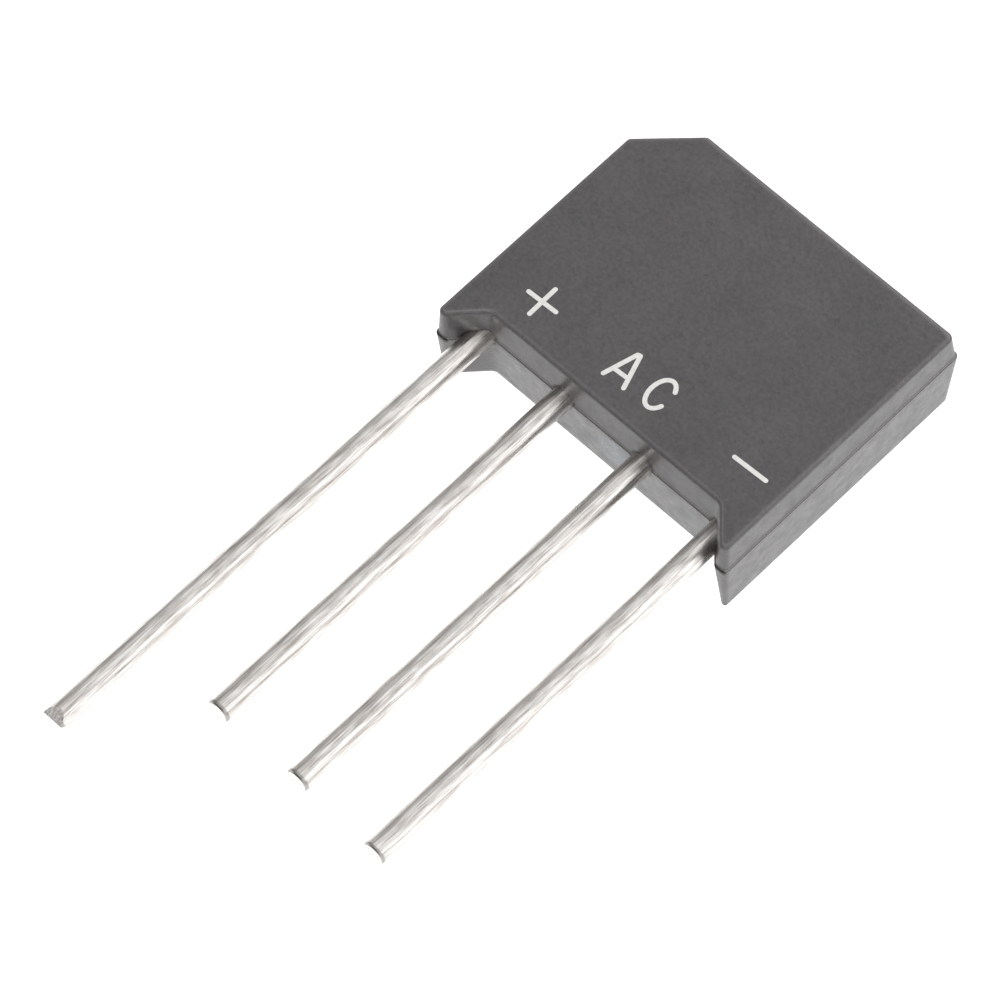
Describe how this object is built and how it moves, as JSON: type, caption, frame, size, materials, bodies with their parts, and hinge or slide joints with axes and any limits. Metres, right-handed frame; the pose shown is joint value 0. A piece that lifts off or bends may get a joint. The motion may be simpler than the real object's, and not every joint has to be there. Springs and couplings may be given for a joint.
{
  "type": "bridge rectifier",
  "caption": "Flat moulded bridge rectifier with a chamfered corner, a recess between two feet, and round wire leads in one row, the positive one longer.",
  "frame": {"origin": "on the back face, under the middle of the moulded body's outline", "axes": "+Z out of the marking face, +X from the positive to the negative lead, the leads point along -Y"},
  "size_m": [0.0188, 0.0431, 0.0061],
  "materials": {
    "moulded_epoxy": "matte",
    "tinned_copper": "bright",
    "bare_copper": "satin",
    "silicon_chip": "satin",
    "solder": "satin",
    "printing_ink": "matte"
  },
  "bodies": {
    "root": {"molded_body": "moulded_epoxy", "lead_positive": "tinned_copper", "lead_ac_1": "tinned_copper", "lead_ac_2": "tinned_copper", "lead_negative": "tinned_copper", "strap_positive": "bare_copper", "strap_negative": "bare_copper", "diode_chip_1": "silicon_chip", "diode_chip_2": "silicon_chip", "diode_chip_3": "silicon_chip", "diode_chip_4": "silicon_chip", "chip_solder_front_1": "solder", "chip_solder_back_1": "solder", "chip_solder_front_2": "solder", "chip_solder_back_2": "solder", "chip_solder_front_3": "solder", "chip_solder_back_3": "solder", "chip_solder_front_4": "solder", "chip_solder_back_4": "solder", "strap_solder_positive": "solder", "strap_solder_negative": "solder"}
  },
  "joints": []
}
